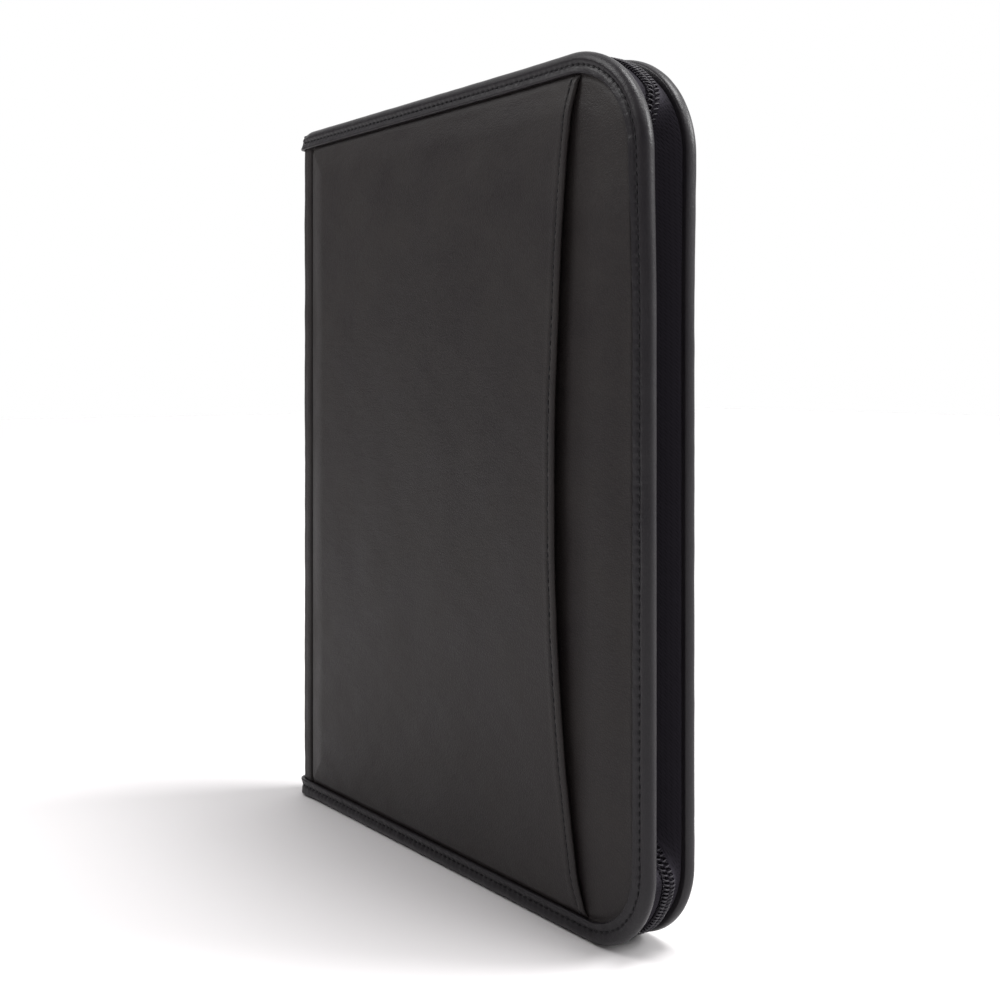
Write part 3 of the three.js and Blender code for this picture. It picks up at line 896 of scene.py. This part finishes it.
COIL_STEPS, COIL_SIDES = 12, 7  # points in a turn of the coil, and round its strand


def coil_rings(rail, offset):
    """Rings round a strand of nylon that is wound along the zip, with broader heads at the middle."""
    turns = int((rail["length"][-1] - 1.5) / COIL_PITCH)
    t = np.arange(turns * COIL_STEPS + 1) / COIL_STEPS
    angle = 2 * math.pi * t
    at = 0.6 + COIL_PITCH * (t + offset * 0.98)
    point = read(rail["point"], rail["length"], at)
    inward = unit(read(rail["inward"], rail["length"], at))
    depth = np.interp(at, rail["length"], rail["depth"])
    flat = COIL_DEPTH / 2 - COIL_STRAND
    reach = COIL_WIDTH - 2 * COIL_STRAND + 0.35
    outside = THICKNESS / 2 - GAP / 2 - COIL_WIDTH + COIL_STRAND
    across = outside + reach * (1 - np.cos(angle)) / 2
    sunk = depth + COIL_DEPTH / 2 - flat * np.sign(np.sin(angle)) * np.abs(np.sin(angle)) ** 0.7
    line = point + inward * sunk[:, None] + across[:, None] * BACKWARD
    tangent, path = heading(line), heading(point)
    first = unit(path - tangent * np.einsum("ij,ij->i", path, tangent)[:, None])
    second = np.cross(tangent, first)
    head = smooth((np.cos(angle - math.pi) - 0.3) / 0.7)
    radius = (COIL_STRAND * (1 + 0.22 * head))[:, None]
    around = np.linspace(0, 2 * math.pi, COIL_SIDES, endpoint=False)
    return (
        line[:, None]
        + first[:, None] * (radius * np.cos(around))[..., None]
        + second[:, None] * (radius * 0.92 * np.sin(around))[..., None]
    )


def add_coils():
    """The two rows of the zip, half a turn apart."""
    rail = zip_rail(0.8)
    for side, offset in (("front", 0.0), ("back", 0.5)):
        name = side + "_zip_coil"
        rings = coil_rings(rail, offset)
        coil = add_tube(name + "_teeth", rings, side == "back", COIL_MATERIAL, "zip_coil", 80)
        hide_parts(name)


# Slider


def plate(outline, low, high, round_by):
    """Rings of a plate with rounded edges between two heights, from an outline in X and Y."""
    middle = outline.mean(0)
    size = np.abs(outline - middle).max(0).min()
    rings = []
    for z0, turn in ((low, np.linspace(-QUARTER, 0, 4)), (high, np.linspace(0, QUARTER, 4))):
        for angle in turn:
            shrink = 1 - round_by * (1 - math.cos(angle)) / size
            centre = z0 + round_by if z0 == low else z0 - round_by
            ring = middle + (outline - middle) * shrink
            rings.append(np.column_stack([ring, np.full(len(ring), centre + round_by * math.sin(angle))]))
    return np.array(rings)


def strip_outline(length, width, count):
    """The outline of a strip with round ends, from a number of points on each end."""
    angles = np.linspace(-QUARTER, QUARTER, count)
    end = width / 2 * np.column_stack([np.cos(angles), np.sin(angles)]) + [(length - width) / 2, 0]
    return np.concatenate([end, -end])


def add_slider():
    """A body with a waist, a bridge on it and a pull that lies flat along the zip."""
    body = strip_outline(SLIDER_LENGTH, SLIDER_WIDTH, 16)
    body[:, 1] *= 1 - 0.16 * bump(body[:, 0], SLIDER_LENGTH * 0.22, 2.2)
    bridge = strip_outline(7.0, 2.0, 8)
    pull = strip_outline(PULL_LENGTH, PULL_WIDTH, 16) + [PULL_LENGTH / 2 - SLIDER_LENGTH / 4, 0]
    pull[:, 1] *= 0.82 + 0.18 * smooth((pull[:, 0] - PULL_LENGTH * 0.5) / 6)
    low = SLIDER_HEIGHT - PULL_THICKNESS / 4
    points, faces = joined([
        plate(body, 0.0, 1.2, 0.35),
        plate(bridge, 0.9, SLIDER_HEIGHT, 0.35),
        plate(pull, low, low + PULL_THICKNESS, 0.45),
    ])
    points = points + [LEFT + SLIDER_PLACE, 0.0, HEIGHT - ZIP_DEPTH + GAP]
    slider = make("zip_slider_cast", points, faces, ENAMEL, "zip_slider")
    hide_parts("zip_slider")


add_covers()
add_spine()
add_pocket()
add_bindings()
add_tapes()
add_coils()
add_slider()


# Studio, in metres

FLOOR_REACH = 6.0
FLOOR_DROP = 0.0002
FLOOR_NEAR, FLOOR_FAR = 0.5, 2.0  # distances between which its paint gets paler: painted light where the lamps fall off
# Floor paint: painted shade near the part, painted light far off
NEAR_PAINTED_SHADE, FAR_PAINTED_LIGHT = (0.68, 0.665, 0.67), (0.94, 0.93, 0.935)
BACKDROP_FROM, BACKDROP_TO = -0.45, 0.1  # shares of the way back between which the room turns white
ROOM_TINT, WHITE = (0.160, 0.145, 0.150, 1), (1, 1, 1, 1)
LAMPS = [
    {"name": "key_front", "place": (-0.3, -0.6, 0.95), "target": (0.0, 0.0, 0.3), "size": 0.5, "power": 5.5},
    {"name": "high_above", "place": (0.56, 0.3, 1.66), "target": (0.1, 0.0, 0.3), "size": 0.65, "power": 27},
]
SUN = {"name": "low_behind", "place": (0.6, 0.8, 0.56), "strength": 2.6, "degrees": 22}
CAMERA_PLACE = (0.4620, -0.33705, 0.21566)
CAMERA_YAW = 52.14  # degrees round from the front to the zip side
FOCAL_PIXELS = 1290.4
HORIZON_PIXELS = 375.2  # below the top of the photograph
FRAME_PIXELS = 1000.0
SENSOR_MM = 36.0


def add_floor():
    """A pale floor, its paint darker near the part and paler far off: painted shade and painted light."""
    mesh = bpy.data.meshes.new("studio_floor")
    corners = [(x * FLOOR_REACH, y * FLOOR_REACH, 0) for x, y in ((-1, -1), (1, -1), (1, 1), (-1, 1))]
    mesh.from_pydata(corners, [], [(0, 1, 2, 3)])
    floor = bpy.data.objects.new("studio_floor", mesh)
    bpy.context.scene.collection.objects.link(floor)
    n = Nodes("studio_floor_painted_light")
    # Painted light and shade: paler further off, where the lamps above the part do not reach, and darker
    # near the part, where they are strong, which also bounces less light onto the part's lower half
    distance = n.add("ShaderNodeVectorMath", Vector=n.place)
    distance.operation = "LENGTH"
    far = n.spread(distance.outputs["Value"], FLOOR_NEAR, FLOOR_FAR, 0.0, 1.0)
    mesh.materials.append(n.surface(Base_Color=n.mix(far, NEAR_PAINTED_SHADE, FAR_PAINTED_LIGHT), Roughness=0.75))
    floor.location.z = -FLOOR_DROP


def aim(lamp, place, target):
    """Put a lamp at a place, turned to a target."""
    lamp.location = place
    lamp.rotation_euler = (Vector(target) - Vector(place)).to_track_quat("-Z", "Y").to_euler()
    bpy.context.scene.collection.objects.link(lamp)


def add_light(name, place, target, size, power):
    """A square soft lamp."""
    light = bpy.data.lights.new(name, "AREA")
    light.size = size
    light.energy = power
    aim(bpy.data.objects.new(name, light), place, target)


def add_sun(name, place, strength, degrees):
    """A far soft light, seen as a disc of that many degrees."""
    light = bpy.data.lights.new(name, "SUN")
    light.energy = strength
    light.angle = math.radians(degrees)
    aim(bpy.data.objects.new(name, light), place, (0, 0, 0))


def add_world():
    """A white backdrop behind the part, and a dimmer room in front of it."""
    world = bpy.data.worlds.new("studio_world")
    world.use_nodes = True
    nodes, links = world.node_tree.nodes, world.node_tree.links
    background = next(n for n in nodes if n.type == "BACKGROUND")
    direction = nodes.new("ShaderNodeTexCoord").outputs["Generated"]
    parts = nodes.new("ShaderNodeSeparateXYZ")
    fade = nodes.new("ShaderNodeMapRange")
    fade.interpolation_type = "SMOOTHSTEP"
    fade.inputs["From Min"].default_value = BACKDROP_FROM
    fade.inputs["From Max"].default_value = BACKDROP_TO
    tint = nodes.new("ShaderNodeMix")
    tint.data_type = "RGBA"
    tint.inputs[6].default_value = ROOM_TINT
    tint.inputs[7].default_value = WHITE
    links.new(direction, parts.inputs["Vector"])
    links.new(parts.outputs["Y"], fade.inputs["Value"])
    links.new(fade.outputs["Result"], tint.inputs[0])
    links.new(tint.outputs[2], background.inputs["Color"])
    bpy.context.scene.world = world
    bpy.context.scene.view_settings.view_transform = "Standard"


def add_camera():
    """A level camera at the photograph's place."""
    lens = bpy.data.cameras.new("photo_camera")
    lens.sensor_width = SENSOR_MM
    lens.lens = SENSOR_MM * FOCAL_PIXELS / FRAME_PIXELS
    lens.shift_y = (HORIZON_PIXELS - FRAME_PIXELS / 2) / FRAME_PIXELS
    lens.clip_start = 0.01
    camera = bpy.data.objects.new("photo_camera", lens)
    camera.location = CAMERA_PLACE
    camera.rotation_euler = (QUARTER, 0, math.radians(CAMERA_YAW))
    bpy.context.scene.collection.objects.link(camera)
    bpy.context.scene.camera = camera


add_floor()
add_world()
for lamp in LAMPS:
    add_light(**lamp)
add_sun(**SUN)
add_camera()
